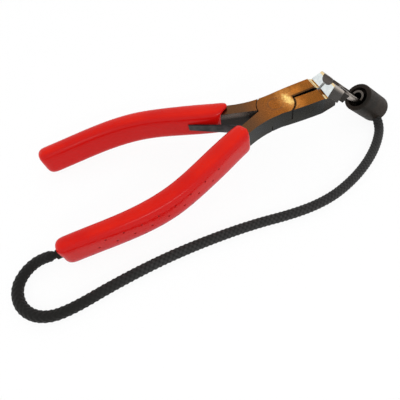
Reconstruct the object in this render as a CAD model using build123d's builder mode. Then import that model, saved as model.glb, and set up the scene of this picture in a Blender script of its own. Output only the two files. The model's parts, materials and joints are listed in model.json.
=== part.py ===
from build123d import *
from math import cos, pi, radians, sin, tan
import os

# Insertion and extraction pliers with an angled, grooved nose and a capped guide tube.
# The part frame: millimetres, +Z up, the table at z = 0, +X towards the nose, origin under
# the middle of the tool. The pliers lie on the two grip ends and on the cap, nose up.

# How the pliers lie
nose_lift = 9.2
pivot_ahead = 22.6
jaw_lean = -2.5
jaw_opening = 1.8

# Steel
steel_height = 9.6
run_over = 1.0  # how far a joined or cutting form runs past the face that it meets
lap_height = 3.4
waist_half_width = 7.5
lap_radius = 9.3
seam_gap = 0.45
lap_play = 0.05
jaw_length = 22.3
jaw_end_width = 7.75
jaw_middle_width = 7.9
jaw_setback = 0.3

# Pivot pin and its running fit
pin_radius = 3.4
pin_play = 0.04
pin_ring_radius = 2.2
pin_ring_depth = 0.2

# Handles: where a station lies as a share of the length, its distance out and its width
handle_length = 120.0
handle_stations = ((0.285, 13.55, 7.7), (0.41, 20.25, 7.3), (0.55, 26.55, 6.3),
                   (0.69, 29.05, 5.5), (0.82, 29.05, 5.1), (0.965, 28.5, 4.9))
shoulder_x = 11.2
shoulder_half_width = 8.4
neck_x = 21.0
neck_half_width = 11.4
crotch_half_gap = 0.35
crotch_flare = 4.9

# Vinyl grips
grip_wall = 1.7
grip_height = 15.0
lower_grip_front = 20.0
lower_grip_cut_angle = 25.0
upper_grip_front = 21.4
upper_grip_cut_angle = 61.0
grip_front_corner = 9.6
grip_rounding = 3.1
grip_end_rounding = 3.3

# Nose: a bar inclined to the jaws, with a groove along its upper front face
nose_angle = 46.5
nose_reach = 28.5
nose_rise = 13.4
nose_width = 5.2
nose_back_width = 7.1
nose_depth = 5.9
nose_length = 16.0
nose_step = 9.0
nose_tip_width = 4.2
nose_tip_depth = 5.1
nose_tip_setback = 0.5
web_reach = 30.5
web_end_width = 5.6
ground_drop = 0.6
groove_radius = 3.0

# Guide tube
tube_radius = 3.6
tube_bore = 2.5
trough_bore = 2.85
tube_seat = 6.0
tube_ring_start = 31.5
tube_end = 44.0
seat_play = 0.1

# Cap
cap_radius = 7.4
cap_mouth = 31.8
cap_mouth_radius = 5.3
cap_mouth_depth = 5.0
cap_bore_play = 0.05
cap_bore_end = 45.5
cap_rounding = 3.0
cap_rim_rounding = 0.8
cap_hole_at = 51.2
cap_hole_turn = 28.0
cap_hole_rake = 24.0
cap_hole_floor = 2.2

# Leaf spring, riveted to the lower handle and bearing on the upper grip
leaf_thickness = 0.8
leaf_width = 6.1
leaf_tip_width = 3.6
leaf_middle = 5.4
leaf_foot_length = 7.4
leaf_heel = 3.2
leaf_knee = (-26.0, 0.4)
leaf_crook_share = 0.305
leaf_crook_gap = 1.9
leaf_tip_share = 0.36
leaf_tip_gap = 0.25
leaf_bend = 2.4
rivet_at = 6.6
rivet_radius = 1.1
rivet_head_radius = 2.0
rivet_head_height = 0.9
rivet_length = 4.0

# Lanyard: a braided cord from the lower grip's end to the cap
cord_diameter = 5.1
anchor_radius = 2.2
anchor_proud = 1.6
anchor_length = 9.0
plug_radius = 2.0
plug_length = 1.2
cord_play = 0.1

os.makedirs("parts", exist_ok=True)


def finish(part, label):
    part.label = label
    export_step(part, f"parts/{label}.step")


# Height of the pivot over the table: the rounded lower edge of a grip's end touches it
lift = radians(nose_lift)
grip_bottom = (steel_height - grip_height) / 2
pivot_height = (
    (handle_length - grip_rounding) * sin(lift)
    - (grip_bottom + grip_rounding) * cos(lift)
    + grip_rounding
)

# Planes: the pliers' own plane, one plane along each jaw's meeting face
tool = Plane(
    origin=(pivot_ahead, 0, pivot_height),
    x_dir=(cos(lift), 0, sin(lift)),
    z_dir=(-sin(lift), 0, cos(lift)),
)


def turned(angle):
    x_dir = tool.x_dir * cos(radians(angle)) + tool.y_dir * sin(radians(angle))
    return Plane(origin=tool.origin, x_dir=x_dir, z_dir=tool.z_dir)


outer_jaw = turned(jaw_lean + jaw_opening)
inner_jaw = turned(jaw_lean - jaw_opening)


def nose_plane(jaw):
    # Along the groove: x across the jaws, y out of the upper front face, z to the tip
    slope = radians(nose_angle)
    origin = jaw.origin + jaw.x_dir * nose_reach + jaw.z_dir * nose_rise
    axis = jaw.x_dir * cos(slope) - jaw.z_dir * sin(slope)
    return Plane(origin=origin, x_dir=jaw.y_dir, z_dir=axis)


outer_nose = nose_plane(outer_jaw)
inner_nose = nose_plane(inner_jaw)


def flank(jaw):
    # The vertical plane of a jaw's meeting face: x along the jaw, y up
    return Plane(origin=jaw.origin, x_dir=jaw.x_dir, z_dir=-jaw.y_dir)


# The tube is seated in the end of the nose
tube_start = nose_length - tube_seat

# The cap's far end: its rounded rim touches the table
axis_drop = sin(radians(nose_angle - nose_lift))
rim_low = (cap_radius - cap_rounding) * cos(radians(nose_angle - nose_lift)) + cap_rounding
cap_end = cap_rounding + (outer_nose.origin.Z - rim_low) / axis_drop


def jaw_plan(side):
    with BuildSketch() as plan:
        with BuildLine():
            Polyline((-run_over, side * waist_half_width), (-run_over, side * jaw_setback),
                     (jaw_length, side * jaw_setback), (jaw_length, side * jaw_end_width))
            Spline((jaw_length, side * jaw_end_width), (jaw_length / 2, side * jaw_middle_width),
                   (0, side * waist_half_width))
            Line((0, side * waist_half_width), (-run_over, side * waist_half_width))
        make_face()
    return plan.sketch


def handle_sides(grow):
    # Outer and inner side of a handle in the pliers' plane, grown by the sleeve's wall
    outer = [(-shoulder_x, shoulder_half_width + grow), (-neck_x, neck_half_width + grow)]
    inner = [(-neck_x, crotch_flare - grow)]
    for share, out, width in handle_stations:
        x = -share * handle_length
        outer.append((x, out + width / 2 + grow))
        inner.append((x, out - width / 2 - grow))
    return outer, inner


def handle_plan(side):
    # The steel of one handle, from the pivot to the end of its tang
    outer, inner = handle_sides(0)
    outer = [(x, side * y) for x, y in [(0, waist_half_width)] + outer]
    inner = [(x, side * y) for x, y in inner]
    crotch = (-lap_radius, side * crotch_half_gap)
    slope = Vector(*inner[0]) - Vector(*crotch)
    with BuildSketch() as plan:
        with BuildLine():
            Spline(*outer, tangents=[(-1, 0), (-1, 0)])
            Line(outer[-1], inner[-1])
            Spline(*inner, tangents=[(slope.X, slope.Y), (-1, 0)])
            Polyline(inner[0], crotch, (0, side * crotch_half_gap), outer[0])
        make_face()
    return plan.sketch


def grip_plan(side, front, cut_angle):
    # The sleeve's outline, from its front, cut back on the inner side, to its round end
    outer, inner = handle_sides(grip_wall)
    outer = [(x, side * y) for x, y in outer + [(-handle_length, outer[-1][1])]]
    inner = [(x, side * y) for x, y in inner + [(-handle_length, inner[-1][1])]]
    corner = (-front, side * grip_front_corner)
    cut_back = (grip_front_corner + handle_length) * tan(radians(cut_angle))
    far_end = -front - cut_back - handle_length
    with BuildSketch() as plan:
        with BuildLine():
            Spline(*outer)
            Line(outer[-1], inner[-1])
            Spline(*inner)
            Line(inner[0], outer[0])
        make_face()
        with BuildSketch(mode=Mode.INTERSECT):
            with BuildLine():
                Polyline((-front, side * handle_length), corner,
                         (-front - cut_back, side * -handle_length),
                         (far_end, side * -handle_length),
                         (far_end, side * handle_length), close=True)
            make_face()
        fillet(plan.vertices().group_by(Axis.X)[0], grip_end_rounding)
    return plan.sketch


# The lapped middle of the joint, cut round so that the jaws turn freely
with BuildSketch() as lap_plan:
    for lap_side in (1, -1):
        add(handle_plan(lap_side))
    add(jaw_plan(1).rotate(Axis.Z, jaw_lean + jaw_opening))
    add(jaw_plan(-1).rotate(Axis.Z, jaw_lean - jaw_opening))
    Rectangle(2 * lap_radius, waist_half_width)
    Circle(lap_radius, mode=Mode.INTERSECT)
lap = lap_plan.sketch

# The flat inner face of the lower handle, where the leaf spring is riveted: z out of the face
face_run = tool.x_dir * (lap_radius - neck_x) + tool.y_dir * (crotch_half_gap - crotch_flare)
face_run = face_run.normalized()
face_start = tool.from_local_coords((-lap_radius, -crotch_half_gap, steel_height / 2))
leaf_seat = Plane(origin=face_start + face_run * rivet_at, x_dir=face_run,
                  z_dir=tool.z_dir.cross(face_run) * -1)

# Where the lanyard is anchored in the lower grip's end: z out of the end
butt_out = handle_stations[-1][1]
anchor_end = Plane(
    origin=tool.from_local_coords((-handle_length - anchor_proud, -butt_out, steel_height / 2)),
    x_dir=tool.y_dir, z_dir=-tool.x_dir,
)


def nose_section(side):
    # The bar's section across the groove: its outer side slopes out from the front face
    with BuildSketch() as section:
        with BuildLine():
            Polyline((0, 0), (side * nose_width, 0), (side * nose_back_width, -nose_depth),
                     (0, -nose_depth), close=True)
        make_face()
    return section.sketch


def tip_section(side):
    with BuildSketch() as section:
        with BuildLine():
            Polyline((0, -nose_tip_setback), (side * nose_tip_width, -nose_tip_setback),
                     (side * nose_tip_width, -nose_tip_depth), (0, -nose_tip_depth), close=True)
        make_face()
    return section.sketch


def nose_web(jaw, side):
    # The jaw under the bar: tapered in plan, and ground down a little where the top face ends
    with BuildPart() as web:
        with BuildSketch(jaw):
            with BuildLine():
                Polyline((jaw_length - run_over, 0), (web_reach, 0), (web_reach, side * web_end_width),
                         (jaw_length, side * jaw_end_width),
                         (jaw_length - run_over, side * jaw_end_width), close=True)
            make_face()
        extrude(amount=steel_height)
        with BuildSketch(flank(jaw)):
            with BuildLine():
                Polyline((jaw_length - run_over, 0), (web_reach, 0),
                         (nose_reach + nose_step * 0.5, nose_rise / 3),
                         (nose_reach - run_over, nose_rise - nose_depth + run_over),
                         (jaw_length + ground_drop, steel_height - ground_drop),
                         (jaw_length, steel_height), (jaw_length - run_over, steel_height), close=True)
            make_face()
        extrude(amount=2 * jaw_end_width, both=True, mode=Mode.INTERSECT)
    return web.part


# Outer member: the lower handle, the upper layer of the lap joint and the upper jaw
with BuildPart() as outer_member:
    with BuildSketch(tool):
        add(lap)
        add(handle_plan(-1))
    extrude(amount=steel_height)
    with BuildSketch(outer_jaw):
        add(jaw_plan(1))
    extrude(amount=steel_height)
    add(nose_web(outer_jaw, 1))
    with BuildSketch(outer_nose):
        add(nose_section(1))
    extrude(amount=nose_step)
    with BuildSketch(outer_nose.offset(nose_step - run_over)):
        add(tip_section(1))
    extrude(amount=nose_length - nose_step + run_over)
    with BuildSketch(tool):
        Circle(lap_radius + seam_gap)
    extrude(amount=lap_height + lap_play, mode=Mode.SUBTRACT)
    with BuildSketch(tool):
        Circle(pin_radius)
    extrude(amount=steel_height, mode=Mode.SUBTRACT)
    with BuildSketch(outer_nose.offset(-run_over)):
        Circle(groove_radius)
    extrude(amount=nose_length + 2 * run_over, mode=Mode.SUBTRACT)
    with BuildSketch(outer_nose.offset(tube_start)):
        Circle(tube_radius)
    extrude(amount=nose_length, mode=Mode.SUBTRACT)
    with BuildSketch(leaf_seat.offset(-rivet_length)):
        Circle(rivet_radius)
    extrude(amount=rivet_length + run_over, mode=Mode.SUBTRACT)
    with BuildSketch(anchor_end):
        Circle(anchor_radius)
    extrude(amount=-anchor_length, mode=Mode.SUBTRACT)
finish(outer_member.part, "outer_member")

# Inner member: the upper handle, the lower layer of the lap joint and the lower jaw
with BuildPart() as inner_member:
    with BuildSketch(tool):
        add(handle_plan(1))
    extrude(amount=steel_height)
    with BuildSketch(inner_jaw):
        add(jaw_plan(-1))
    extrude(amount=steel_height)
    add(nose_web(inner_jaw, -1))
    with BuildSketch(inner_nose):
        add(nose_section(-1))
    extrude(amount=nose_step)
    with BuildSketch(inner_nose.offset(nose_step - run_over)):
        add(tip_section(-1))
    extrude(amount=nose_length - nose_step + run_over)
    with BuildSketch(tool.offset(lap_height)):
        Circle(lap_radius + seam_gap)
    extrude(amount=steel_height - lap_height, mode=Mode.SUBTRACT)
    with BuildSketch(tool):
        add(lap)
    extrude(amount=lap_height)
    with BuildSketch(tool):
        Circle(pin_radius + pin_play)
    extrude(amount=steel_height, mode=Mode.SUBTRACT)
    with BuildSketch(inner_nose.offset(-run_over)):
        Circle(groove_radius)
    extrude(amount=nose_length + 2 * run_over, mode=Mode.SUBTRACT)
    with BuildSketch(inner_nose.offset(tube_start)):
        Circle(tube_radius + seat_play)
    extrude(amount=nose_length, mode=Mode.SUBTRACT)
finish(inner_member.part, "inner_member")

# Pivot pin: flush with both faces, with a turned ring on each end
with BuildPart() as pivot_pin:
    with BuildSketch(tool):
        Circle(pin_radius)
    extrude(amount=steel_height)
    with BuildSketch(tool, tool.offset(steel_height - pin_ring_depth)):
        Circle(pin_ring_radius)
        Circle(pin_ring_radius - pin_ring_depth, mode=Mode.SUBTRACT)
    extrude(amount=pin_ring_depth, mode=Mode.SUBTRACT)
finish(pivot_pin.part, "pivot_pin")

# Leaf spring: flat foot under the rivet, then two bends up to the inner side of the upper grip
def leaf_point(along_share, gap):
    # A point off the upper grip's inner side, at a share of the handle's length
    share, out, width = handle_stations[0]
    next_share, next_out, next_width = handle_stations[1]
    part_way = (along_share - share) / (next_share - share)
    inner = out - width / 2 + part_way * (next_out - out - (next_width - width) / 2) - grip_wall
    return (-along_share * handle_length, inner - gap)


leaf_crook = leaf_point(leaf_crook_share, leaf_crook_gap)
leaf_tip = leaf_point(leaf_tip_share, leaf_thickness / 2 + leaf_tip_gap)
heel = tool.to_local_coords(leaf_seat.origin - face_run * leaf_heel + leaf_seat.z_dir * leaf_thickness / 2)
toe = heel + tool.to_local_coords(tool.origin + face_run) * leaf_foot_length
with BuildPart() as leaf_spring:
    with BuildSketch(tool.offset(leaf_middle - leaf_width / 2)):
        with BuildLine() as leaf_line:
            FilletPolyline((heel.X, heel.Y), (toe.X, toe.Y), leaf_knee, leaf_crook, leaf_tip,
                           radius=leaf_bend)
        trace(line_width=leaf_thickness)
    extrude(amount=leaf_width)
    with BuildSketch(flank(tool)):
        with BuildLine():
            Polyline((heel.X, leaf_middle - leaf_width / 2), (heel.X, leaf_middle + leaf_width / 2),
                     (leaf_tip[0] - run_over, leaf_middle + leaf_tip_width / 2),
                     (leaf_tip[0] - run_over, leaf_middle - leaf_tip_width / 2), close=True)
        make_face()
    extrude(amount=handle_length, both=True, mode=Mode.INTERSECT)
    with BuildSketch(leaf_seat):
        Circle(rivet_radius)
    extrude(amount=leaf_thickness, both=True, mode=Mode.SUBTRACT)
finish(leaf_spring.part, "leaf_spring")

with BuildPart() as spring_rivet:
    with BuildSketch(leaf_seat.offset(-rivet_length)):
        Circle(rivet_radius)
    extrude(amount=rivet_length + leaf_thickness)
    with BuildSketch(leaf_seat.offset(leaf_thickness)):
        Circle(rivet_head_radius)
    extrude(amount=rivet_head_height)
    fillet(spring_rivet.edges().sort_by(Axis(leaf_seat.origin, leaf_seat.z_dir))[-1], rivet_head_height * 0.9)
finish(spring_rivet.part, "spring_rivet")


def make_grip(side, front, cut_angle, label):
    with BuildPart() as grip:
        with BuildSketch(tool.offset(grip_bottom)):
            add(grip_plan(side, front, cut_angle))
        extrude(amount=grip_height)
        flat = grip.faces().filter_by(lambda face: abs(face.normal_at().dot(tool.z_dir)) > 0.99)
        rims = flat.edges().sort_by(Axis(tool.origin, tool.x_dir))[:-4]
        fillet(rims, grip_rounding)
        with BuildSketch(tool):
            add(handle_plan(side))
        extrude(amount=steel_height, mode=Mode.SUBTRACT)
        if side < 0:
            with BuildSketch(anchor_end):
                Circle(anchor_radius)
            extrude(amount=-anchor_length, mode=Mode.SUBTRACT)
    finish(grip.part, label)


make_grip(-1, lower_grip_front, lower_grip_cut_angle, "lower_grip")
make_grip(1, upper_grip_front, upper_grip_cut_angle, "upper_grip")

# Guide tube: an open trough brazed in the outer member's half of the groove, a closed bore at its tip
with BuildPart() as guide_tube:
    with BuildSketch(outer_nose.offset(tube_start)):
        Circle(tube_radius)
        Circle(tube_bore, mode=Mode.SUBTRACT)
    extrude(amount=tube_end - tube_start)
    with BuildSketch(outer_nose.offset(tube_start)):
        Circle(trough_bore)
        with Locations((0, tube_radius)):
            Rectangle(4 * tube_radius, 2 * tube_radius)
    extrude(amount=tube_ring_start - tube_start, mode=Mode.SUBTRACT)
finish(guide_tube.part, "guide_tube")

# Cap: drawn off along the guide tube; the cord goes into a hole low on its side
cap_axis = Axis(outer_nose.origin, outer_nose.z_dir)
hole_turn, hole_rake = radians(cap_hole_turn), radians(cap_hole_rake)
cord_socket = Plane(
    origin=outer_nose.origin + outer_nose.z_dir * cap_hole_at,
    z_dir=outer_nose.z_dir * sin(hole_rake)
    - (outer_nose.x_dir * cos(hole_turn) + outer_nose.y_dir * sin(hole_turn)) * cos(hole_rake),
)
cord_radius = cord_diameter / 2
with BuildPart() as tip_cap:
    with BuildSketch(outer_nose.offset(cap_mouth)):
        Circle(cap_radius)
    extrude(amount=cap_end - cap_mouth)
    fillet(tip_cap.edges().sort_by(cap_axis)[-1], cap_rounding)
    fillet(tip_cap.edges().sort_by(cap_axis)[0], cap_rim_rounding)
    with BuildSketch(outer_nose.offset(cap_mouth)):
        Circle(cap_mouth_radius)
    extrude(amount=cap_mouth_depth, mode=Mode.SUBTRACT)
    with BuildSketch(outer_nose.offset(cap_mouth)):
        Circle(tube_radius + cap_bore_play)
    extrude(amount=cap_bore_end - cap_mouth, mode=Mode.SUBTRACT)
    with BuildSketch(cord_socket.offset(cap_hole_floor)):
        Circle(cord_radius + cord_play)
    extrude(amount=cap_radius, mode=Mode.SUBTRACT)
    with BuildSketch(cord_socket.offset(cap_hole_floor - plug_length)):
        Circle(plug_radius)
    extrude(amount=plug_length, mode=Mode.SUBTRACT)
finish(tip_cap.part, "tip_cap")

# Anchor in the grip's end and the crimped plug that holds the cord in the cap
with BuildPart() as cord_anchor:
    with BuildSketch(anchor_end):
        Circle(anchor_radius)
    extrude(amount=-anchor_length)
finish(cord_anchor.part, "cord_anchor")

with BuildPart() as cord_plug:
    with BuildSketch(cord_socket.offset(cap_hole_floor - plug_length)):
        Circle(plug_radius)
    extrude(amount=plug_length)
finish(cord_plug.part, "cord_plug")

# The cord's route on the table, from the grip's end round to the cap
loop_route = [
    (anchor_end.origin.X, anchor_end.origin.Y, anchor_end.origin.Z),
    (-104.5, -26.0, 4.4),
    (-112.6, -28.2, cord_radius),
    (-117.6, -35.3, cord_radius),
    (-116.9, -44.8, cord_radius),
    (-110.6, -52.0, cord_radius),
    (-100.0, -54.0, cord_radius),
]
socket_floor = cord_socket.origin + cord_socket.z_dir * cap_hole_floor
main_route = [
    (-75.4, -48.6, cord_radius),
    (-47.4, -44.9, cord_radius),
    (-13.4, -44.1, cord_radius),
    (13.6, -46.6, cord_radius),
    (33.0, -45.1, cord_radius),
    (51.0, -39.1, cord_radius),
    (66.6, -31.0, cord_radius),
    (79.8, -21.3, cord_radius),
    (90.2, -10.2, cord_radius),
    (socket_floor.X, socket_floor.Y, socket_floor.Z),
]
# The two lengths meet halfway along the straight run between them
seam = tuple((a + b) / 2 for a, b in zip(loop_route[-1], main_route[0]))
loop_route.append(seam)
main_route.insert(0, seam)


def corner_radii(route):
    # As large as the two runs at each corner allow
    points = [Vector(*point) for point in route]
    radii = []
    for before, corner, after in zip(points, points[1:], points[2:]):
        run_in, run_out = corner - before, after - corner
        half_turn = radians(run_in.get_angle(run_out)) / 2
        radii.append(0.45 * min(run_in.length, run_out.length) / tan(half_turn))
    return radii


def make_cord(route, label):
    radii = corner_radii(route)
    with BuildPart() as cord:
        with BuildLine() as path:
            FilletPolyline(*route, radius=radii)
        with BuildSketch(Plane(origin=path.line @ 0, z_dir=path.line % 0)):
            Circle(cord_radius)
        sweep(path=path.line)
    finish(cord.part, label)
    length = path.wire().length
    expected = length * pi * cord_radius**2
    print(label, "radii", [round(value, 1) for value in radii])
    print(label, "length", round(length, 1), "volume ratio", round(cord.part.volume / expected, 4))


make_cord(loop_route, "cord_loop")
make_cord(main_route, "cord_main")
print("cap end", round(cap_end, 2), "pivot height", round(pivot_height, 2))
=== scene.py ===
import json
import math

import bpy
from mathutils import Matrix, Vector

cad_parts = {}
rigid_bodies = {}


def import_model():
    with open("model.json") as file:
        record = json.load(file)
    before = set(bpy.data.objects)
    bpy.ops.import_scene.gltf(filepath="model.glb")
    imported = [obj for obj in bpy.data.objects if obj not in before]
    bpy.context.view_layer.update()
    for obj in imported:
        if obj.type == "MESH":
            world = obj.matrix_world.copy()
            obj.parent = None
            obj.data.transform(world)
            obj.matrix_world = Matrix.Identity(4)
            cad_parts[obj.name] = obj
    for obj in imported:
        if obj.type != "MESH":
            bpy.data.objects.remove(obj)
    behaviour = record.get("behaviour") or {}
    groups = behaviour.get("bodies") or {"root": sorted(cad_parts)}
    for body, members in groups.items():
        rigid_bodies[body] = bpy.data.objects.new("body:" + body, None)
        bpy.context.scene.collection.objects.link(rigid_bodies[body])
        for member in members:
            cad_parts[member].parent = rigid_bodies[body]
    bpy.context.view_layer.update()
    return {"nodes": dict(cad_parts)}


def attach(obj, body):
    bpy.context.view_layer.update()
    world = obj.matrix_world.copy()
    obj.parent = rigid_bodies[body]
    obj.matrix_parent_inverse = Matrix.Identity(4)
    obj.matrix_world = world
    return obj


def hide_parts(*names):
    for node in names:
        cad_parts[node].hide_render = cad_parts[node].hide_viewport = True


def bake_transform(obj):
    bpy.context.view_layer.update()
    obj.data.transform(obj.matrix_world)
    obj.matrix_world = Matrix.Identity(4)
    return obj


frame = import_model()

# Insertion and extraction pliers with red grips, a capped guide tube and a braided lanyard.
# The pliers lie on the table, nose up to the right; metres, table at z = 0.

nodes = frame["nodes"]

# How the pliers lie: their tilt, the joint's centre on the lower flat face, the steel's thickness,
# and the nose's turn and its start: along the pliers, across them and up out of the flat faces
lie = {
    "tilt": 9.2, "joint": (0.0226, 0.0, 0.021395), "thickness": 0.0096,
    "noseAngle": 46.5, "noseAt": (0.0285, -0.0012, 0.0134),
}
tilt = math.radians(lie["tilt"])
joint = Vector(lie["joint"])
toNose = Vector((math.cos(tilt), 0, math.sin(tilt)))
across = Vector((0, 1, 0))
upFace = Vector((-math.sin(tilt), 0, math.cos(tilt)))
noseTurn = math.radians(lie["noseAngle"])
noseAxis = toNose * math.cos(noseTurn) - upFace * math.sin(noseTurn)
noseFront = toNose * math.sin(noseTurn) + upFace * math.cos(noseTurn)


def onPliers(along, aside, up):
    return joint + toNose * along + across * aside + upFace * up


noseStart = onPliers(*lie["noseAt"])
topCentre = onPliers(0, 0, lie["thickness"])

# Camera at the photograph's viewing angle
photo = {
    "place": (-0.06586, -0.11844, 0.14674),
    "turn": (35.75, 0.32, -21.74),
    "lens": 32.05, "sensor": 36, "nearest": 0.005,
}
cameraData = bpy.data.cameras.new("photoCamera")
cameraData.lens = photo["lens"]
cameraData.sensor_width = photo["sensor"]
cameraData.clip_start = photo["nearest"]
camera = bpy.data.objects.new("photoCamera", cameraData)
camera.location = photo["place"]
camera.rotation_euler = [math.radians(angle) for angle in photo["turn"]]
bpy.context.scene.collection.objects.link(camera)
bpy.context.scene.camera = camera
bpy.context.scene.view_settings.view_transform = "Standard"
print("camera set")

# A node's mesh is loose triangles: how close its points are merged, and what still counts as flat, in degrees
meshWork = {"mergeWithin": 0.000004, "flatWithin": 0.6}


def clearSelection():
    for item in bpy.context.view_layer.objects:
        item.select_set(False)


def pick(piece):
    clearSelection()
    piece.select_set(True)
    bpy.context.view_layer.objects.active = piece


def flattened(piece, mergeWithin, flatWithin):
    # Loose triangles merged, and flat faces made whole again
    pick(piece)
    bpy.ops.object.mode_set(mode="EDIT")
    bpy.ops.mesh.select_all(action="SELECT")
    bpy.ops.mesh.remove_doubles(threshold=mergeWithin)
    bpy.ops.mesh.dissolve_limited(angle_limit=math.radians(flatWithin))
    bpy.ops.object.mode_set(mode="OBJECT")


def copyOf(nodeName, pieceName):
    # A piece of its own with the node's form
    piece = bpy.data.objects.new(pieceName, nodes[nodeName].data.copy())
    piece.data.materials.clear()
    bpy.context.scene.collection.objects.link(piece)
    flattened(piece, meshWork["mergeWithin"], meshWork["flatWithin"])
    return piece


def applied(piece, kind, **settings):
    pick(piece)
    modifier = piece.modifiers.new(kind.lower(), kind)
    for name, value in settings.items():
        setattr(modifier, name, value)
    bpy.ops.object.modifier_apply(modifier=modifier.name)


def edgesRounded(piece, width, angle, **settings):
    applied(piece, "BEVEL", width=width, segments=2, limit_method="ANGLE",
            angle_limit=math.radians(angle), **settings)


def smoothed(piece, angle):
    pick(piece)
    bpy.ops.object.shade_smooth_by_angle(angle=math.radians(angle))


def flatFacesKept(piece):
    # Wide faces set the shading beside a narrow bevel, so that they reflect as flat faces do
    applied(piece, "WEIGHTED_NORMAL", weight=100, keep_sharp=True)


# Material tools
def fillInputs(tree, node, inputs):
    # Each input is linked to a socket, or set to a value
    for name, value in inputs.items():
        if isinstance(value, bpy.types.NodeSocket):
            tree.links.new(value, node.inputs[name])
        else:
            node.inputs[name].default_value = value


def addNode(tree, kind, inputs=None, **settings):
    node = tree.nodes.new(kind)
    for name, value in settings.items():
        setattr(node, name, value)
    fillInputs(tree, node, inputs or {})
    return node


def maths(tree, operation, *values):
    return addNode(tree, "ShaderNodeMath", dict(enumerate(values)), operation=operation).outputs["Value"]


def times(tree, first, second):
    return maths(tree, "MULTIPLY", first, second)


def larger(tree, first, second):
    return maths(tree, "MAXIMUM", first, second)


def vectorMaths(tree, operation, *values):
    node = addNode(tree, "ShaderNodeVectorMath", dict(enumerate(values)), operation=operation)
    oneNumber = operation in ("DOT_PRODUCT", "DISTANCE", "LENGTH")
    return node.outputs["Value" if oneNumber else "Vector"]


def partOf(tree, vector, letter):
    return addNode(tree, "ShaderNodeSeparateXYZ", {"Vector": vector}).outputs[letter]


def noise(tree, where, scale, detail):
    return addNode(tree, "ShaderNodeTexNoise", {"Vector": where, "Scale": scale, "Detail": detail}).outputs


def between(tree, value, start, end):
    # 0 at the start and before it, 1 at the end and past it
    ramp = addNode(tree, "ShaderNodeMapRange", {"Value": value, "From Min": start, "From Max": end})
    return ramp.outputs["Result"]


def distanceAlong(tree, where, direction, start):
    # How far a point lies from start in a direction
    return maths(tree, "SUBTRACT", vectorMaths(tree, "DOT_PRODUCT", where, direction), direction.dot(start))


def newGroup(name, inputs, outputs):
    group = bpy.data.node_groups.new(name, "ShaderNodeTree")
    for socketName, kind, value in inputs:
        socket = group.interface.new_socket(socketName, in_out="INPUT", socket_type=kind)
        if value is not None:
            socket.default_value = value
    for socketName, kind in outputs:
        group.interface.new_socket(socketName, in_out="OUTPUT", socket_type=kind)
    return group, group.nodes.new("NodeGroupInput"), group.nodes.new("NodeGroupOutput")


def groupNode(tree, group, inputs):
    node = tree.nodes.new("ShaderNodeGroup")
    node.node_tree = group
    fillInputs(tree, node, inputs)
    return node


def newMaterial(name, **shaderSettings):
    material = bpy.data.materials.new(name)
    material.use_nodes = True
    tree = material.node_tree
    shader = tree.nodes["Principled BSDF"]
    for key, value in shaderSettings.items():
        shader.inputs[key.replace("_", " ")].default_value = value
    return material, tree, shader


def placeAndNormal(tree):
    place = addNode(tree, "ShaderNodeTexCoord")
    return place.outputs["Object"], place.outputs["Normal"]


def blendColours(tree, mask, colour, otherColour):
    mix = addNode(tree, "ShaderNodeMix", {"Factor": mask}, data_type="RGBA")
    for index, value in ((6, colour), (7, otherColour)):
        if isinstance(value, bpy.types.NodeSocket):
            tree.links.new(value, mix.inputs[index])
        else:
            mix.inputs[index].default_value = (*value, 1)
    return mix.outputs[2]


# Colour that drifts slowly between two shades over a surface
driftGroup, driftIn, driftOut = newGroup(
    "colourDrift",
    [("Vector", "NodeSocketVector", None), ("Colour", "NodeSocketColor", (0.5, 0.5, 0.5, 1)),
     ("Other Colour", "NodeSocketColor", (0.4, 0.4, 0.4, 1)), ("Scale", "NodeSocketFloat", 60.0)],
    [("Colour", "NodeSocketColor"), ("Mask", "NodeSocketFloat")],
)
driftNoise = addNode(driftGroup, "ShaderNodeTexNoise", {
    "Vector": driftIn.outputs["Vector"], "Scale": driftIn.outputs["Scale"], "Detail": 4.0, "Roughness": 0.6})
driftRange = between(driftGroup, driftNoise.outputs["Fac"], 0.35, 0.65)
driftMix = blendColours(driftGroup, driftRange, driftIn.outputs["Colour"], driftIn.outputs["Other Colour"])
driftGroup.links.new(driftMix, driftOut.inputs["Colour"])
driftGroup.links.new(driftRange, driftOut.inputs["Mask"])

# Fine grain that breaks up the gloss, and the normal that it gives
grainGroup, grainIn, grainOut = newGroup(
    "fineGrain",
    [("Vector", "NodeSocketVector", None), ("Scale", "NodeSocketFloat", 900.0),
     ("Strength", "NodeSocketFloat", 0.1), ("Depth", "NodeSocketFloat", 0.0001),
     ("Smooth", "NodeSocketFloat", 0.3), ("Rough", "NodeSocketFloat", 0.5)],
    [("Roughness", "NodeSocketFloat"), ("Normal", "NodeSocketVector")],
)
grainNoise = noise(grainGroup, grainIn.outputs["Vector"], grainIn.outputs["Scale"], 2.0)["Fac"]
grainRange = addNode(grainGroup, "ShaderNodeMapRange", {
    "Value": grainNoise, "From Min": 0.3, "From Max": 0.7,
    "To Min": grainIn.outputs["Smooth"], "To Max": grainIn.outputs["Rough"]})
grainBump = addNode(grainGroup, "ShaderNodeBump", {
    "Strength": grainIn.outputs["Strength"], "Distance": grainIn.outputs["Depth"], "Height": grainNoise})
grainGroup.links.new(grainRange.outputs["Result"], grainOut.inputs["Roughness"])
grainGroup.links.new(grainBump.outputs["Normal"], grainOut.inputs["Normal"])

# Which faces look a given way, from 0 to 1
facingGroup, facingIn, facingOut = newGroup(
    "facesThatWay",
    [("Normal", "NodeSocketVector", None), ("Direction", "NodeSocketVector", (0, 0, 1)),
     ("From", "NodeSocketFloat", 0.9), ("To", "NodeSocketFloat", 0.98)],
    [("Mask", "NodeSocketFloat")],
)
facingDot = vectorMaths(facingGroup, "DOT_PRODUCT", facingIn.outputs["Normal"], facingIn.outputs["Direction"])
facingMask = between(facingGroup, facingDot, facingIn.outputs["From"], facingIn.outputs["To"])
facingGroup.links.new(facingMask, facingOut.inputs["Mask"])


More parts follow.
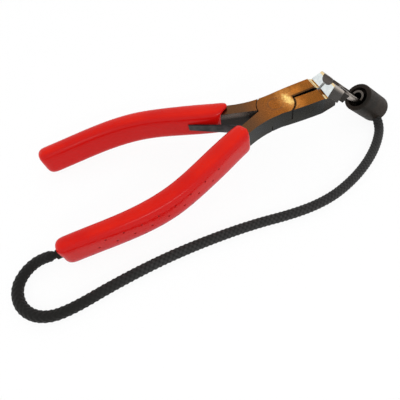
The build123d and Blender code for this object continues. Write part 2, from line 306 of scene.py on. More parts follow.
def drift(tree, where, colour, otherColour, scale):
    return groupNode(tree, driftGroup, {
        "Vector": where, "Colour": (*colour, 1), "Other Colour": (*otherColour, 1), "Scale": scale}).outputs


def grain(tree, shader, where, scale, strength, smooth, rough):
    node = groupNode(tree, grainGroup, {
        "Vector": where, "Scale": scale, "Strength": strength, "Smooth": smooth, "Rough": rough})
    tree.links.new(node.outputs["Roughness"], shader.inputs["Roughness"])
    tree.links.new(node.outputs["Normal"], shader.inputs["Normal"])
    return node.outputs


def facing(tree, normal, direction, start=0.9, end=0.98):
    return groupNode(tree, facingGroup, {
        "Normal": normal, "Direction": direction, "From": start, "To": end}).outputs["Mask"]


def driftingMaterial(name, finish, **shaderSettings):
    # A material whose colour drifts between two shades, under a fine grain
    material, tree, shader = newMaterial(name, **shaderSettings)
    where = placeAndNormal(tree)[0]
    colours = drift(tree, where, finish["colour"], finish["otherColour"], finish["scale"])
    tree.links.new(colours["Colour"], shader.inputs["Base Color"])
    grain(tree, shader, where, *finish["grain"])
    return material


# The lanyard: the route's points, the braid on its surface and its fibres' colours
lanyard = {
    "route": (
        (-0.0982, -0.0285, 0.0067), (-0.1045, -0.0260, 0.0044), (-0.1126, -0.0282, 0.00255),
        (-0.1176, -0.0353, 0.00255), (-0.1169, -0.0448, 0.00255), (-0.1106, -0.0520, 0.00255),
        (-0.1000, -0.0540, 0.00255), (-0.0754, -0.0486, 0.00255), (-0.0474, -0.0449, 0.00255),
        (-0.0134, -0.0441, 0.00255), (0.0136, -0.0466, 0.00255), (0.0330, -0.0451, 0.00255),
        (0.0510, -0.0391, 0.00255), (0.0666, -0.0310, 0.00255), (0.0798, -0.0213, 0.00255),
        (0.0902, -0.0102, 0.00255), (0.08943, -0.00256, 0.00686),
    ),
    "diameter": 0.0051,
    "strands": 6, "lay": 0.0138,
    "relief": 0.20,  # the gaps' depth as a share of the radius
    "under": 0.25,  # a strand's height where it passes under another
    "gather": 0.0034, "gathered": 0.5,  # the cord is drawn in where it leaves the grip
    "ringStep": 0.00028, "around": 48, "lineSteps": 60, "pathStep": 4, "smoothAngle": 60,
    "freeFrom": (0.045, -0.042, 0.003), "fastAt": (0.0888, -0.006, 0.004),
    "fibre": (0.023, 0.0225, 0.022), "paleFibre": (0.039, 0.038, 0.037), "fibreScale": 700.0,
    # gap is painted shade in the braid's gaps
    "gap": (0.0080, 0.0077, 0.0072), "crown": (0.3, 0.95),
    # handled is painted shade darkening the cord towards its end beside the grip
    "handled": (0.010, 0.0095, 0.0085), "handledFrom": (-0.060, -0.095),
    "grain": (2500.0, 0.5, 0.65, 0.9),
}


def routeLine(points):
    curve = bpy.data.curves.new("lanyardLine", "CURVE")
    curve.dimensions = "3D"
    curve.resolution_u = lanyard["lineSteps"]
    spline = curve.splines.new("NURBS")
    spline.points.add(len(points) - 1)
    for point, place in zip(spline.points, points):
        point.co = (*place, 1)
    spline.order_u = 3
    spline.use_endpoint_u = True
    holder = bpy.data.objects.new("lanyardLine", curve)
    bpy.context.scene.collection.objects.link(holder)
    bpy.context.view_layer.update()
    mesh = bpy.data.meshes.new_from_object(holder)
    line = [vertex.co.copy() for vertex in mesh.vertices]
    bpy.data.objects.remove(holder)
    return line


def evenPoints(line, step):
    total = sum((b - a).length for a, b in zip(line, line[1:]))
    count = round(total / step)
    spaced, walked, segment = [line[0]], 0.0, 0
    for number in range(1, count):
        target = total * number / count
        while walked + (line[segment + 1] - line[segment]).length < target:
            walked += (line[segment + 1] - line[segment]).length
            segment += 1
        start, end = line[segment], line[segment + 1]
        spaced.append(start.lerp(end, (target - walked) / (end - start).length))
    return spaced + [line[-1]], total


def strandHeight(own, crossing, sign):
    # A strand is round across itself, and goes over and under the strands that cross it
    crown = math.sqrt(max(0.0, 1 - (2 * (own % 1) - 1) ** 2))
    over = 0.5 + sign * 0.5 * math.cos(math.pi * (crossing - 0.5 + math.floor(own)))
    return crown * (lanyard["under"] + (1 - lanyard["under"]) * over)


def braidHeight(turn, along):
    # Two sets of strands, one to the right and one to the left; 0 in the gaps, 1 on a crown
    right = turn * lanyard["strands"] + along / lanyard["lay"] * lanyard["strands"]
    left = turn * lanyard["strands"] - along / lanyard["lay"] * lanyard["strands"]
    return max(strandHeight(right, left, 1), strandHeight(left, right, -1))


def tubeFaces(rings, around):
    # Faces between the rings, and a fan over each end to its middle point, which comes after the rings
    faces = []
    for ring in range(rings - 1):
        for index in range(around):
            a = ring * around + index
            b = ring * around + (index + 1) % around
            faces.append((a, b, b + around, a + around))
    first, last, top = rings * around, rings * around + 1, (rings - 1) * around
    for index in range(around):
        following = (index + 1) % around
        faces.append((first, following, index))
        faces.append((last, top + index, top + following))
    return faces


def buildLanyard():
    points, length = evenPoints(routeLine(lanyard["route"]), lanyard["ringStep"])
    radius, around, gathered = lanyard["diameter"] / 2, lanyard["around"], lanyard["gathered"]
    vertices, heights, side = [], [], None
    for number, point in enumerate(points):
        before, after = points[max(number - 1, 0)], points[min(number + 1, len(points) - 1)]
        way = (after - before).normalized()
        side = side or way.orthogonal().normalized()
        side = (side - way * side.dot(way)).normalized()
        other = way.cross(side)
        along = length * number / (len(points) - 1)
        drawnIn = min(1.0, gathered + (1 - gathered) * along / lanyard["gather"])
        for index in range(around):
            turn = index / around
            height = braidHeight(turn, along)
            reach = radius * drawnIn * (1 - lanyard["relief"] * (1 - height))
            angle = 2 * math.pi * turn
            vertices.append(point + side * (reach * math.cos(angle)) + other * (reach * math.sin(angle)))
            heights.append(height)
    mesh = bpy.data.meshes.new("lanyard")
    mesh.from_pydata(vertices + [points[0], points[-1]], [], tubeFaces(len(points), around))
    braid = mesh.attributes.new("braid", "FLOAT", "POINT")
    braid.data.foreach_set("value", heights + [0.0, 0.0])
    piece = bpy.data.objects.new("lanyard", mesh)
    bpy.context.scene.collection.objects.link(piece)
    smoothed(piece, lanyard["smoothAngle"])
    return piece, points, length


cordPiece, cordPoints, cordLength = buildLanyard()
print("lanyard made,", round(cordLength * 1000, 1), "mm")

# Painted shade: dark in the gaps of the braid, and darker towards the cord's end beside the grip
cordMaterial, tree, shader = newMaterial("braidedBlackCord", Specular_IOR_Level=0.15, Sheen_Weight=0.12)
where = placeAndNormal(tree)[0]
braidValue = addNode(tree, "ShaderNodeAttribute", attribute_name="braid").outputs["Fac"]
fibres = drift(tree, where, lanyard["fibre"], lanyard["paleFibre"], lanyard["fibreScale"])
colour = blendColours(tree, between(tree, braidValue, *lanyard["crown"]), lanyard["gap"], fibres["Colour"])
# Painted shade towards the cord's end beside the grip
handled = between(tree, partOf(tree, where, "X"), *lanyard["handledFrom"])
tree.links.new(blendColours(tree, handled, colour, lanyard["handled"]), shader.inputs["Base Color"])
grain(tree, shader, where, *lanyard["grain"])
cordPiece.data.materials.append(cordMaterial)
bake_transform(cordPiece)
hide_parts("cord_loop", "cord_main")

# Steel of the two members. A pair of numbers is a range over which one finish passes into another: metres
# along the pliers, across them, up from the joint or away from a place, or how squarely a face looks one way.
steel = {
    "bevel": 0.00020, "bevelAngle": 28, "smoothAngle": 32,
    "side": (0.040, 0.039, 0.034), "sideBlue": (0.041, 0.043, 0.045), "sideScale": 90.0,
    "brown": (0.140, 0.064, 0.028), "bronze": (0.225, 0.076, 0.009), "orange": (0.310, 0.090, 0.010),
    "bronzeScale": 42.0, "bronzeFrom": (0.010, 0.024),
    "jawEnd": (0.0478, 0.0480),  # where the jaws' flat faces end and the nose starts
    # cream is a painted highlight on chamfers, corners and the nose
    # seam is painted shade for the lap's walls and the edges along the slot
    "cream": (0.85, 0.66, 0.36), "seam": (0.012, 0.010, 0.009),
    "grain": (1400.0, 0.08, 0.24, 0.36),
    "spots": {
        "wander": 0.005, "scale": 420.0, "detail": 3.0,
        "patch": (0.41, 0.136, 0.018), "patchCore": 0.2,
        "patches": (((0.0132, 0.0036), 0.0040), ((0.0104, -0.0052), 0.0040)),
        # The straw spot and its amber rim are a painted highlight beside the joint
        "strawAt": (0.0066, -0.0002), "squeeze": (1.0, 0.48, 1.0),
        "amber": (0.44, 0.175, 0.038), "amberWithin": (0.0058, 0.0022),
        "straw": (0.84, 0.58, 0.19), "strawWithin": (0.0026, 0.0007),
    },
    "turning": {
        "spacing": 0.00070, "within": (0.0085, 0.0055), "scale": 150.0, "detail": 2.0, "share": 0.8,
        "pinRadius": 0.0040, "pinLine": (0.00045, 0.00010), "pinShare": 0.6,
    },
    # Painted shade along the lap's near seam and the slot between the jaws
    "stain": {
        "colour": (0.045, 0.022, 0.008), "share": 0.85,
        "seamRadius": 0.0096, "seamLine": (0.00075, 0.00045), "seamFrom": (0.027, 0.029),
        "nearSide": (0.0003, -0.0003), "slotLine": (0.0013, 0.0009), "slotFrom": (0.0345, 0.0352),
    },
    "jawCorners": {"near": (-0.0056, -0.0064), "far": (-0.0012, -0.0004)},  # a painted cream highlight on the jaws' corners, near and far
    "nose": {
        # dark and side make a painted gradient of light and shade on the nose's near side; goldBand is a
        # painted highlight band
        "dark": (0.034, 0.030, 0.026), "side": (0.74, 0.65, 0.56), "face": (0.110, 0.070, 0.045),
        "sideWay": (0.33, -0.94), "sideFacing": (0.98, 0.99), "sideDepth": (-0.0025, 0.0),
        "ground": (0.80, 0.85, 0.84), "groundGrey": (0.68, 0.72, 0.73), "groundScale": 500.0,
        "goldBand": (-0.0013, -0.0011), "sideDull": 0.8,
        "meeting": (0.62, 0.63, 0.62), "meetingSideways": (0.5, 0.8), "meetingInward": (-0.0003, -0.0006),
        "meetingFrom": (0.0486, 0.0489),
        # groove is painted shade in the groove between the nose halves
        "groove": (0.060, 0.043, 0.032), "grooveInward": (-0.0016, -0.0020),
        "grooveDepth": (-0.0037, -0.0034), "underFacing": (0.8, 0.9),
    },
    "inner": {
        # pale and dark make a painted gradient of light and shade down the handles' inner sides
        "pale": (0.200, 0.160, 0.138), "dark": (0.020, 0.017, 0.015), "paleFrom": (0.0060, 0.0088),
        "facing": (-0.5, -0.8), "behind": (0.020, 0.018), "dull": 0.25,
    },
    "lapWall": {"hollow": (-0.0075, -0.0080), "round": (0.0088, 0.0090), "within": (0.0150, 0.0145)},
    "dullMetal": 0.35,  # how metallic the dull places stay
    "belt": {
        "ringScale": 900.0, "wobble": 0.6, "wobbleScale": 40.0,
        "scratchScale": 3200.0, "scratchStretch": 0.035, "strength": 0.15, "depth": 0.000004,
    },
    "edgeLight": (0.22, 0.14, 0.075), "edgeDark": (0.06, 0.045, 0.033), "edgeScale": 260.0,
    "edgeSlot": (0.0016, 0.0013), "edgeSlotFrom": (0.030, 0.032), "edgeGrain": (2000.0, 0.1, 0.25, 0.45),
}


def roundLine(tree, distance, radius, width):
    # 1 on a round line at a radius and 0 away from it, its half width given as a range
    return between(tree, maths(tree, "ABSOLUTE", maths(tree, "SUBTRACT", distance, radius)), *width)


def bronzedFaces(tree, where, along, fromCentre):
    # Brown by the grips and bronze ahead, with paler patches, turning marks and a painted highlight: a
    # straw-coloured spot with an amber rim
    spots, turning = steel["spots"], steel["turning"]
    bronze = drift(tree, where, steel["bronze"], steel["orange"], steel["bronzeScale"])
    colour = blendColours(tree, between(tree, along, *steel["bronzeFrom"]), steel["brown"], bronze["Colour"])
    wander = vectorMaths(tree, "SUBTRACT", noise(tree, where, spots["scale"], spots["detail"])["Color"],
                         (0.5, 0.5, 0.5))
    wandered = vectorMaths(tree, "MULTIPLY_ADD", wander, (spots["wander"],) * 3, where)
    for (ahead, aside), reach in spots["patches"]:
        distance = vectorMaths(tree, "DISTANCE", wandered, onPliers(ahead, aside, lie["thickness"]))
        patchMask = between(tree, distance, reach, reach * spots["patchCore"])
        colour = blendColours(tree, patchMask, colour, spots["patch"])
    marked = between(tree, maths(tree, "PINGPONG", fromCentre, turning["spacing"]), 0.0, turning["spacing"])
    markMask = times(tree, marked, noise(tree, where, turning["scale"], turning["detail"])["Fac"])
    markMask = times(tree, markMask, between(tree, fromCentre, *turning["within"]))
    colour = blendColours(tree, times(tree, markMask, turning["share"]), colour, steel["brown"])
    pinLine = roundLine(tree, fromCentre, turning["pinRadius"], turning["pinLine"])
    colour = blendColours(tree, times(tree, pinLine, turning["pinShare"]), colour, steel["brown"])
    fromStraw = vectorMaths(tree, "SUBTRACT", wandered, onPliers(*spots["strawAt"], lie["thickness"]))
    fromStraw = vectorMaths(tree, "LENGTH", vectorMaths(tree, "MULTIPLY", fromStraw, spots["squeeze"]))
    colour = blendColours(tree, between(tree, fromStraw, *spots["amberWithin"]), colour, spots["amber"])
    return blendColours(tree, between(tree, fromStraw, *spots["strawWithin"]), colour, spots["straw"])


def stained(tree, colour, along, aside, fromCentre):
    # Painted shade, dark brown, along the lap's near seam and the slot between the jaws
    stain = steel["stain"]
    seamMask = times(tree, roundLine(tree, fromCentre, stain["seamRadius"], stain["seamLine"]),
                     between(tree, along, *stain["seamFrom"]))
    seamMask = times(tree, seamMask, between(tree, aside, *stain["nearSide"]))
    slotMask = times(tree, between(tree, maths(tree, "ABSOLUTE", aside), *stain["slotLine"]),
                     between(tree, along, *stain["slotFrom"]))
    stainMask = times(tree, larger(tree, seamMask, slotMask), stain["share"])
    return blendColours(tree, stainMask, colour, stain["colour"])


def noseFaces(tree, colour, where, normal, noseDepth):
    # The nose's near side has a painted gradient of light and shade, pale above and dark below; its front is
    # brown, its end ground bright with a painted cream highlight band
    nose = steel["nose"]
    forward, aside = nose["sideWay"]
    sideMask = facing(tree, normal, noseFront * forward + across * aside, *nose["sideFacing"])
    light = between(tree, noseDepth, *nose["sideDepth"])
    shade = blendColours(tree, times(tree, light, light), nose["dark"], nose["side"])
    colour = blendColours(tree, sideMask, colour, shade)
    colour = blendColours(tree, facing(tree, normal, noseFront), colour, nose["face"])
    ground = drift(tree, where, nose["ground"], nose["groundGrey"], nose["groundScale"])
    goldBand = between(tree, noseDepth, *nose["goldBand"])
    ground = blendColours(tree, goldBand, ground["Colour"], steel["cream"])
    return blendColours(tree, facing(tree, normal, -noseAxis), colour, ground), sideMask


def innerSides(tree, colour, where, along, aside, normalAside):
    # The handles' inner sides, duller than the rest, with a painted gradient of light and shade: pale along
    # their upper edge, darker lower down between the handles
    inner = steel["inner"]
    inward = times(tree, maths(tree, "SIGN", aside), normalAside)
    innerMask = times(tree, between(tree, inward, *inner["facing"]), between(tree, along, *inner["behind"]))
    paleMask = between(tree, distanceAlong(tree, where, upFace, joint), *inner["paleFrom"])
    shade = blendColours(tree, paleMask, inner["dark"], inner["pale"])
    return blendColours(tree, innerMask, colour, shade), innerMask


def lapWalls(tree, colour, where, normal, topMask):
    # Painted shade on the round walls of the lap, dark and dull where they meet
    lapWall = steel["lapWall"]
    fromJoint = vectorMaths(tree, "SUBTRACT", where, joint)
    outward = vectorMaths(tree, "DOT_PRODUCT", normal, fromJoint)
    distance = vectorMaths(tree, "LENGTH", fromJoint)
    wallMask = larger(tree, between(tree, outward, *lapWall["hollow"]),
                      between(tree, outward, *lapWall["round"]))
    wallMask = times(tree, wallMask, between(tree, distance, *lapWall["within"]))
    wallMask = times(tree, wallMask, maths(tree, "SUBTRACT", 1.0, topMask))
    return blendColours(tree, wallMask, colour, steel["seam"]), wallMask


def noseGroove(tree, colour, where, normal, along, normalAside, onNose, noseDepth):
    # The nose halves' meeting faces are pale, the groove between them has painted shade, and the bar's back
    # face a painted cream highlight
    nose = steel["nose"]
    inward = vectorMaths(tree, "DOT_PRODUCT", normal, vectorMaths(tree, "SUBTRACT", where, noseStart))
    sideways = between(tree, maths(tree, "ABSOLUTE", normalAside), *nose["meetingSideways"])
    meetingMask = times(tree, times(tree, onNose, sideways), between(tree, inward, *nose["meetingInward"]))
    meetingMask = times(tree, meetingMask, between(tree, along, *nose["meetingFrom"]))
    colour = blendColours(tree, meetingMask, colour, nose["meeting"])
    grooveMask = times(tree, onNose, between(tree, inward, *nose["grooveInward"]))
    grooveMask = times(tree, grooveMask, between(tree, noseDepth, *nose["grooveDepth"]))
    colour = blendColours(tree, grooveMask, colour, nose["groove"])
    underMask = times(tree, onNose, facing(tree, normal, -noseFront, *nose["underFacing"]))
    return blendColours(tree, underMask, colour, steel["cream"]), larger(tree, meetingMask, underMask)


def beltMarks(tree, where, topMask):
    # Turned rings round the joint and long scratches from the belt, on the flat faces only
    belt = steel["belt"]
    turned = addNode(tree, "ShaderNodeMapping", {
        "Vector": where, "Location": joint, "Rotation": (0, -tilt, 0)}, vector_type="TEXTURE")
    rings = addNode(tree, "ShaderNodeTexWave", {
        "Vector": turned.outputs["Vector"], "Scale": belt["ringScale"], "Distortion": belt["wobble"],
        "Detail": 1.0, "Detail Scale": belt["wobbleScale"]}, wave_type="RINGS", rings_direction="Z")
    stretched = addNode(tree, "ShaderNodeMapping", {
        "Vector": turned.outputs["Vector"], "Scale": (belt["scratchStretch"], 1, 1)})
    scratches = noise(tree, stretched.outputs["Vector"], belt["scratchScale"], 2.0)["Fac"]
    return times(tree, maths(tree, "ADD", rings.outputs["Fac"], scratches), topMask)


def makeSteel():
    material, tree, shader = newMaterial("heatTintedSteel", Metallic=1.0)
    where, normal = placeAndNormal(tree)
    aside, normalAside = partOf(tree, where, "Y"), partOf(tree, normal, "Y")
    along = vectorMaths(tree, "DOT_PRODUCT", where, toNose)
    fromCentre = vectorMaths(tree, "DISTANCE", where, topCentre)
    onNose = between(tree, along, *steel["jawEnd"])
    noseDepth = distanceAlong(tree, where, noseFront, noseStart)
    sides = drift(tree, where, steel["side"], steel["sideBlue"], steel["sideScale"])
    sides = blendColours(tree, onNose, sides["Colour"], steel["nose"]["dark"])
    tinted = bronzedFaces(tree, where, along, fromCentre)
    tinted = stained(tree, tinted, along, aside, fromCentre)
    corners = larger(tree, between(tree, aside, *steel["jawCorners"]["near"]),
                     between(tree, aside, *steel["jawCorners"]["far"]))
    # Painted cream highlight on the jaws' corners on the nose
    tinted = blendColours(tree, times(tree, corners, onNose), tinted, steel["cream"])
    topMask = facing(tree, normal, upFace)
    colour = blendColours(tree, topMask, sides, tinted)
    colour, sideMask = noseFaces(tree, colour, where, normal, noseDepth)
    colour, innerMask = innerSides(tree, colour, where, along, aside, normalAside)
    colour, wallMask = lapWalls(tree, colour, where, normal, topMask)
    colour, paleMask = noseGroove(tree, colour, where, normal, along, normalAside, onNose, noseDepth)
    tree.links.new(colour, shader.inputs["Base Color"])
    dullMask = larger(tree, times(tree, innerMask, steel["inner"]["dull"]), paleMask)
    dullMask = larger(tree, dullMask, times(tree, sideMask, steel["nose"]["sideDull"]))
    metallic = addNode(tree, "ShaderNodeMapRange", {
        "Value": dullMask, "To Min": 1.0, "To Max": steel["dullMetal"]}).outputs["Result"]
    metallic = times(tree, metallic, maths(tree, "SUBTRACT", 1.0, wallMask))
    tree.links.new(metallic, shader.inputs["Metallic"])
    fine = grain(tree, shader, where, *steel["grain"])
    tree.links.new(larger(tree, fine["Roughness"], wallMask), shader.inputs["Roughness"])
    relief = addNode(tree, "ShaderNodeBump", {
        "Strength": steel["belt"]["strength"], "Distance": steel["belt"]["depth"],
        "Height": beltMarks(tree, where, topMask), "Normal": fine["Normal"]})
    tree.links.new(relief.outputs["Normal"], shader.inputs["Normal"])
    return material


def makeWornEdge():
    # The members' rounded edges: rubbed bright and dull by turns, with painted shade along the slot and a
    # painted cream highlight on the nose
    material, tree, shader = newMaterial("wornSteelEdge", Metallic=1.0)
    where = placeAndNormal(tree)[0]
    edges = drift(tree, where, steel["edgeLight"], steel["edgeDark"], steel["edgeScale"])
    along = vectorMaths(tree, "DOT_PRODUCT", where, toNose)
    apart = maths(tree, "ABSOLUTE", partOf(tree, where, "Y"))
    slotMask = times(tree, between(tree, apart, *steel["edgeSlot"]),
                     between(tree, along, *steel["edgeSlotFrom"]))
    colour = blendColours(tree, slotMask, edges["Colour"], steel["seam"])
    colour = blendColours(tree, between(tree, along, *steel["jawEnd"]), colour, steel["cream"])
    tree.links.new(colour, shader.inputs["Base Color"])
    grain(tree, shader, where, *steel["edgeGrain"])
    return material


steelMaterial, edgeMaterial = makeSteel(), makeWornEdge()
for nodeName, pieceName, body in (("outer_member", "outerMember", "lower_handle"),
                                  ("inner_member", "innerMember", "upper_handle")):
    member = copyOf(nodeName, pieceName)
    member.data.materials.append(steelMaterial)
    member.data.materials.append(edgeMaterial)
    edgesRounded(member, steel["bevel"], steel["bevelAngle"], material=1, use_clamp_overlap=True)
    smoothed(member, steel["smoothAngle"])
    flatFacesKept(member)
    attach(member, body)
    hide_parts(nodeName)
print("steel members finished")

# Grips: soft vinyl sleeves with rows of small dimples on their outer sides
grips = {
    "voxel": 0.00042, "smoothing": 130, "regained": 0.00022, "smoothAngle": 50,
    "red": (0.70, 0.0090, 0.0004), "deepRed": (0.61, 0.0042, 0.0008), "redScale": 45.0,
    # sideRed is painted shade on the sides; bloom is a painted reflection of the table, low on the outer
    # sides
    "sideRed": (0.54, 0.0042, 0.0032), "sideFacing": (0.30, 0.75),
    "bloom": (0.50, 0.052, 0.100), "bloomFrom": (0.0030, -0.0090), "grain": (500.0, 0.05, 0.17, 0.25),
    # dimple and dimpleDark are painted shade in the dimples
    "dimple": (0.27, 0.004, 0.006), "dimpleDark": 0.5, "dimpleScale": 300.0,
    "dimpleGrain": (900.0, 0.1, 0.5, 0.7), "dimpleRadius": 0.00070, "dimpleOut": 0.00040,
    "rows": 8, "firstRow": 0.0408, "rowSpacing": 0.0083,
    "inRow": 3, "step": 0.0043, "stepDown": 0.0039, "highest": 0.0078, "castFrom": 0.08,
}


def makeVinyl():
    # Painted shade makes the sides a deeper red, and a painted reflection of the table makes the outer ones
    # pale low down
    material, tree, shader = newMaterial("redVinyl", Specular_IOR_Level=0.18)
    where, normal = placeAndNormal(tree)
    reds = drift(tree, where, grips["red"], grips["deepRed"], grips["redScale"])
    normalAside = partOf(tree, normal, "Y")
    sideMask = between(tree, maths(tree, "ABSOLUTE", normalAside), *grips["sideFacing"])
    colour = blendColours(tree, sideMask, reds["Colour"], grips["sideRed"])
    outward = times(tree, maths(tree, "SIGN", partOf(tree, where, "Y")), normalAside)
    height = distanceAlong(tree, where, upFace, joint)
    bloomMask = times(tree, between(tree, outward, *grips["sideFacing"]),
                      between(tree, height, *grips["bloomFrom"]))
    tree.links.new(blendColours(tree, bloomMask, colour, grips["bloom"]), shader.inputs["Base Color"])
    grain(tree, shader, where, *grips["grain"])
    return material


def makeDimpleVinyl():
    # Painted shade in the dimples: a dark red that drifts darker still
    material, tree, shader = newMaterial("redVinylInDimples", Specular_IOR_Level=0.1)
    where = placeAndNormal(tree)[0]
    mask = drift(tree, where, grips["dimple"], grips["deepRed"], grips["dimpleScale"])["Mask"]
    darkest = tuple(value * grips["dimpleDark"] for value in grips["deepRed"])
    tree.links.new(blendColours(tree, mask, grips["dimple"], darkest), shader.inputs["Base Color"])
    grain(tree, shader, where, *grips["dimpleGrain"])
    return material


vinylMaterial, dimpleMaterial = makeVinyl(), makeDimpleVinyl()


def pressDimples(grip, side):
    cutters = []
    for row in range(grips["rows"]):
        for number in range(grips["inRow"]):
            alongGrip = grips["firstRow"] + row * grips["rowSpacing"] + number * grips["step"]
            height = grips["highest"] - number * grips["stepDown"]
            start = joint - toNose * alongGrip + upFace * height + across * (side * grips["castFrom"])
            struck, spot, outward = grip.ray_cast(start, across * -side)[:3]
            if not struck:
                continue
            bpy.ops.mesh.primitive_ico_sphere_add(
                subdivisions=2, radius=grips["dimpleRadius"], location=spot + outward * grips["dimpleOut"])
            cutters.append(bpy.context.active_object)
    clearSelection()
    for cutter in cutters:
        cutter.select_set(True)
    bpy.context.view_layer.objects.active = cutters[0]
    bpy.ops.object.join()
    cutter = bpy.context.active_object
    cutter.data.materials.append(dimpleMaterial)
    applied(grip, "BOOLEAN", object=cutter, operation="DIFFERENCE", solver="EXACT",
            material_mode="TRANSFER")
    bpy.data.objects.remove(cutter)


for side, nodeName, pieceName, body in ((-1, "lower_grip", "lowerGrip", "lower_handle"),
                                        (1, "upper_grip", "upperGrip", "upper_handle")):
    grip = copyOf(nodeName, pieceName)
    applied(grip, "REMESH", mode="VOXEL", voxel_size=grips["voxel"])
    applied(grip, "SMOOTH", factor=0.5, iterations=grips["smoothing"])
    applied(grip, "DISPLACE", strength=grips["regained"], mid_level=0.0)
    grip.data.materials.append(vinylMaterial)
    pressDimples(grip, side)
    smoothed(grip, grips["smoothAngle"])
    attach(grip, body)
    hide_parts(nodeName)
print("grips finished")

# Leaf spring: blackened, with rounded edges
spring = {
    "bevel": 0.00012, "bevelAngle": 40, "smoothAngle": 32,
    "foot": (0.008, -0.004, 0.022), "tip": (-0.018, 0.006, 0.016),
    "colour": (0.030, 0.029, 0.030), "otherColour": (0.085, 0.080, 0.080),
    "scale": 110.0, "grain": (1500.0, 0.15, 0.3, 0.5),
}
springMaterial = driftingMaterial("blackSpringSteel", spring, Metallic=0.9)
leaf = copyOf("leaf_spring", "leafSpring")
leaf.data.materials.append(springMaterial)
edgesRounded(leaf, spring["bevel"], spring["bevelAngle"])
smoothed(leaf, spring["smoothAngle"])
flatFacesKept(leaf)
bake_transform(leaf)
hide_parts("leaf_spring")

# Pivot pin: ground flush with the flat faces, its turned ring ground away
pin = {"ringFloor": (0.00935, 0.00945), "mergeWithin": 0.00001, "flatWithin": 2, "smoothAngle": 32}
pivotPin = copyOf("pivot_pin", "pivotPin")
for vertex in pivotPin.data.vertices:
    height = (vertex.co - joint).dot(upFace)
    if pin["ringFloor"][0] < height < pin["ringFloor"][1]:
        vertex.co += upFace * (lie["thickness"] - height)
flattened(pivotPin, pin["mergeWithin"], pin["flatWithin"])
smoothed(pivotPin, pin["smoothAngle"])
pivotPin.data.materials.append(steelMaterial)
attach(pivotPin, "lower_handle")
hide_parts("pivot_pin")
print("leaf spring and pin finished")

# Guide tube: painted shade where it runs in the nose, pale in the open, and a ring of painted shade inside
# the cap's mouth
tube = {
    "pale": (0.50, 0.45, 0.40), "lessPale": (0.34, 0.30, 0.265), "scale": 260.0,
    # dark is painted shade inside the nose, and ring painted shade inside the cap's mouth
    "dark": (0.060, 0.045, 0.035), "paleFrom": (0.0150, 0.0180),
    "ring": (0.120, 0.105, 0.092), "ringFrom": (0.0270, 0.0300), "grain": (1800.0, 0.1, 0.2, 0.38),
}
tubeMaterial, tree, shader = newMaterial("groundTubeSteel", Metallic=1.0)
where = placeAndNormal(tree)[0]
pale = drift(tree, where, tube["pale"], tube["lessPale"], tube["scale"])
alongTube = distanceAlong(tree, where, noseAxis, noseStart)
colour = blendColours(tree, between(tree, alongTube, *tube["paleFrom"]), tube["dark"], pale["Colour"])
colour = blendColours(tree, between(tree, alongTube, *tube["ringFrom"]), colour, tube["ring"])
tree.links.new(colour, shader.inputs["Base Color"])
grain(tree, shader, where, *tube["grain"])

# Cap and anchor in rubber, plug in brass
cap = {"colour": (0.015, 0.0135, 0.0115), "otherColour": (0.030, 0.0215, 0.0165),
       "scale": 90.0, "grain": (1100.0, 0.12, 0.42, 0.58)}
plug = {"colour": (0.55, 0.40, 0.16), "otherColour": (0.35, 0.25, 0.10),
        "scale": 300.0, "grain": (1500.0, 0.15, 0.3, 0.5)}
rubberMaterial = driftingMaterial("blackCapRubber", cap, Specular_IOR_Level=0.07)
brassMaterial = driftingMaterial("dullBrass", plug, Metallic=1.0)

# The rivet, tube, cap, anchor and plug keep their nodes' forms and get their finishes
for nodeName, material in (("guide_tube", tubeMaterial), ("spring_rivet", springMaterial),
                           ("tip_cap", rubberMaterial), ("cord_anchor", rubberMaterial),
                           ("cord_plug", brassMaterial)):
    part = nodes[nodeName]
    part.data.materials.clear()
    part.data.materials.append(material)
print("small parts finished")

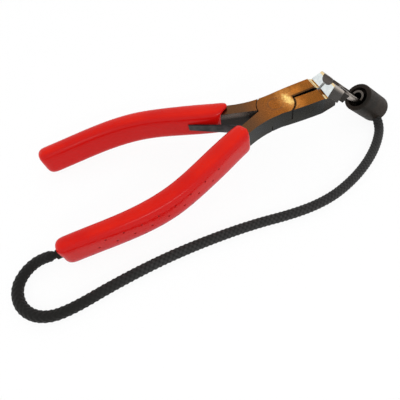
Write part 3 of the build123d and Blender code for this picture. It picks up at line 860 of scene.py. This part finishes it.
# Table: the camera and the reflections see through most of it to the white surroundings, so that a
# cap pulled down past it still shows, and the share that is left keeps the object's shadow
tableTop = {"size": 6, "height": -0.0002, "roughness": 0.9, "seenThrough": 0.92}
bpy.ops.mesh.primitive_plane_add(size=tableTop["size"], location=(0, 0, tableTop["height"]))
table = bpy.context.active_object
table.name = "table"
tableMaterial, tree, shader = newMaterial(
    "paleTable", Base_Color=(1, 1, 1, 1), Roughness=tableTop["roughness"])
rays = addNode(tree, "ShaderNodeLightPath").outputs
seen = larger(tree, larger(tree, rays["Is Camera Ray"], rays["Is Glossy Ray"]), rays["Is Transmission Ray"])
both = addNode(tree, "ShaderNodeMixShader", {
    0: times(tree, seen, tableTop["seenThrough"]), 1: shader.outputs["BSDF"],
    2: addNode(tree, "ShaderNodeBsdfTransparent").outputs["BSDF"]})
tree.links.new(both.outputs["Shader"], tree.nodes["Material Output"].inputs["Surface"])
table.data.materials.append(tableMaterial)

# World and lamps: white to the camera, a little dimmer on the object and in reflections from overhead
light = {
    "world": 0.92, "overhead": 0.72, "overheadFrom": 0.55, "overheadTo": 0.80,
    "keyLamp": {"energy": 0.10, "place": (0.279, 0.563, 0.688), "size": (0.12, 0.12)},
    "stripLamp": {"energy": 1.25, "place": (0.03, -0.66, 0.44), "size": (0.56, 0.032)},
}
world = bpy.data.worlds.new("studio")
bpy.context.scene.world = world
world.use_nodes = True
tree = world.node_tree
background = tree.nodes["Background"]
background.inputs["Color"].default_value = (1, 1, 1, 1)
rays = addNode(tree, "ShaderNodeLightPath").outputs
seen = larger(tree, rays["Is Camera Ray"], rays["Is Glossy Ray"])
upwards = partOf(tree, addNode(tree, "ShaderNodeTexCoord").outputs["Generated"], "Z")
overhead = addNode(tree, "ShaderNodeMapRange", {
    "Value": upwards, "From Min": light["overheadFrom"], "From Max": light["overheadTo"],
    "To Min": 1.0, "To Max": light["overhead"]})
reflected = times(tree, overhead.outputs["Result"], rays["Is Glossy Ray"])
strength = addNode(tree, "ShaderNodeMix", {
    0: seen, 2: light["world"], 3: larger(tree, reflected, rays["Is Camera Ray"])}, data_type="FLOAT")
tree.links.new(strength.outputs[0], background.inputs["Strength"])

for lampName in ("keyLamp", "stripLamp"):
    lampData = bpy.data.lights.new(lampName, "AREA")
    lampData.shape = "RECTANGLE"
    lampData.energy = light[lampName]["energy"]
    lampData.size, lampData.size_y = light[lampName]["size"]
    lamp = bpy.data.objects.new(lampName, lampData)
    lamp.location = light[lampName]["place"]
    lamp.rotation_euler = (-lamp.location).to_track_quat("-Z", "Y").to_euler()
    bpy.context.scene.collection.objects.link(lamp)
print("lights set")
